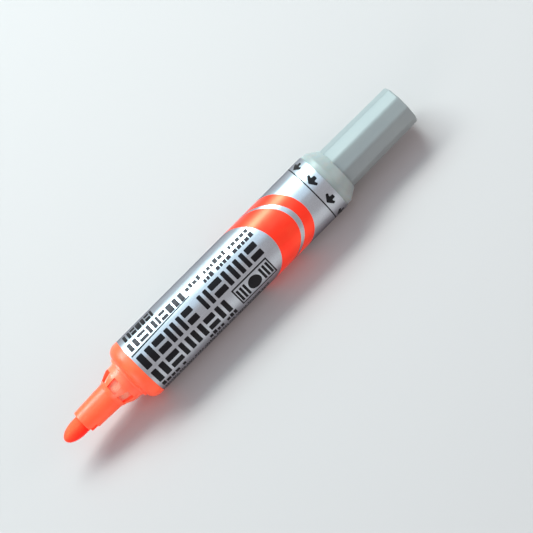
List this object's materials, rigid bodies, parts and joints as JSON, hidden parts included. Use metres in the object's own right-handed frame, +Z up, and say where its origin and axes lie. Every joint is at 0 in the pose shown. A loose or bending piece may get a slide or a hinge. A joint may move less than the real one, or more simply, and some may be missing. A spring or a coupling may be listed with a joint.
{
  "type": "whiteboard marker",
  "caption": "Uncapped pump-action marker: bullet nib in a tapered holder, silver-labelled barrel, ten-sided push button at the rear, with the pump and ink valve inside.",
  "frame": {"origin": "on the surface that the marker lies on, under the middle of its length", "axes": "+Z up, +X along the marker towards the push button, the nib towards -X"},
  "size_m": [0.1336, 0.019, 0.019],
  "materials": {
    "button_plastic": "satin moulded",
    "milky_plastic": "satin, slightly translucent",
    "inner_plastic": "satin moulded",
    "silver_film": "satin metallised film with print",
    "print_black": "screen-printed ink",
    "print_ink_colour": "translucent ink over metallised film",
    "ink_colour_plastic": "glossy, slightly translucent",
    "nib_fibre": "matte compressed fibre",
    "sponge": "matte fibre",
    "black_rubber": "matte",
    "red_rubber": "matte",
    "spring_steel": "drawn wire"
  },
  "bodies": {
    "pen": {"rear_collar": "milky_plastic", "pump_cylinder": "inner_plastic", "cylinder_gasket": "black_rubber", "outlet_valve": "red_rubber", "barrel": "milky_plastic", "label_sleeve": "silver_film", "front_collar": "ink_colour_plastic", "nib_holder": "ink_colour_plastic", "holder_o_ring": "black_rubber", "nib": "nib_fibre", "feed_sponge": "sponge", "valve_body": "inner_plastic", "valve_seat": "black_rubber", "valve_spring": "spring_steel", "valve_retainer": "inner_plastic", "pump_spring": "spring_steel"},
    "plunger": {"pump_button": "button_plastic", "pump_piston": "inner_plastic", "piston_seal": "black_rubber"},
    "poppet": {"valve_poppet": "inner_plastic"}
  },
  "joints": [
    {"name": "pump_press", "type": "slide", "parent": "pen", "child": "plunger", "axis": [-1, 0, 0], "range_m": [0, 0.005], "stiffness_N_per_m": 270, "springref_m": -0.01, "deforming": ["pump_spring"]},
    {"name": "valve_lift", "type": "slide", "parent": "pen", "child": "poppet", "axis": [-1, 0, 0], "range_m": [0, 0.001], "stiffness_N_per_m": 980, "springref_m": -0.001, "deforming": ["valve_spring"]}
  ]
}
